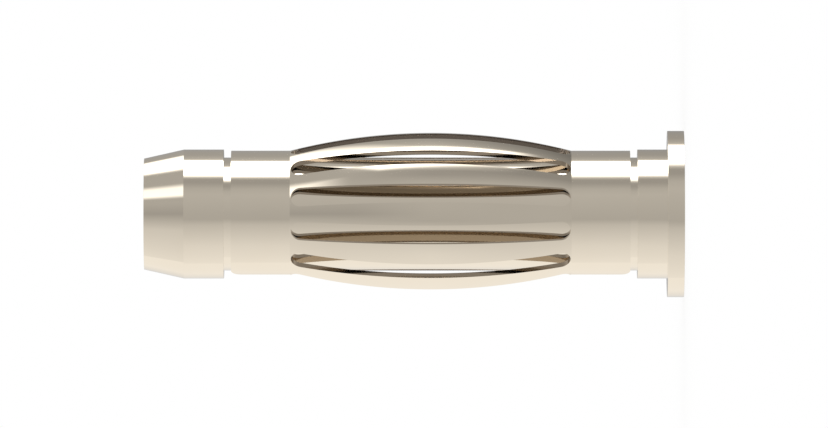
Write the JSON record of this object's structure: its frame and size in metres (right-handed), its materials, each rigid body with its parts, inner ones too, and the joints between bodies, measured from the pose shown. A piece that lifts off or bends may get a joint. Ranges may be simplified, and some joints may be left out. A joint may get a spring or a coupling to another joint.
{
  "type": "banana plug",
  "caption": "Bare banana plug for 4 mm sockets: a turned pin with a rear flange and tapered nose, and a slotted, bowed spring cage that turns on its core.",
  "frame": {"origin": "centre of the flange's rear face, on the plug's axis", "axes": "+Z along the plug's axis from the flange to the nose; -X through the middle of the cage's seam"},
  "size_m": [0.005, 0.005, 0.0162],
  "materials": {
    "pin_nickel": "bright nickel plate on turned brass",
    "cage_nickel": "bright nickel plate on copper alloy spring strip"
  },
  "bodies": {
    "pin": {"plug_pin": "pin_nickel"},
    "cage": {"spring_cage": "cage_nickel"}
  },
  "joints": [
    {"name": "cage_spin", "type": "hinge", "parent": "pin", "child": "cage", "pos_m": [0, 0, 0.00762], "axis": [0, 0, 1], "continuous": true}
  ]
}
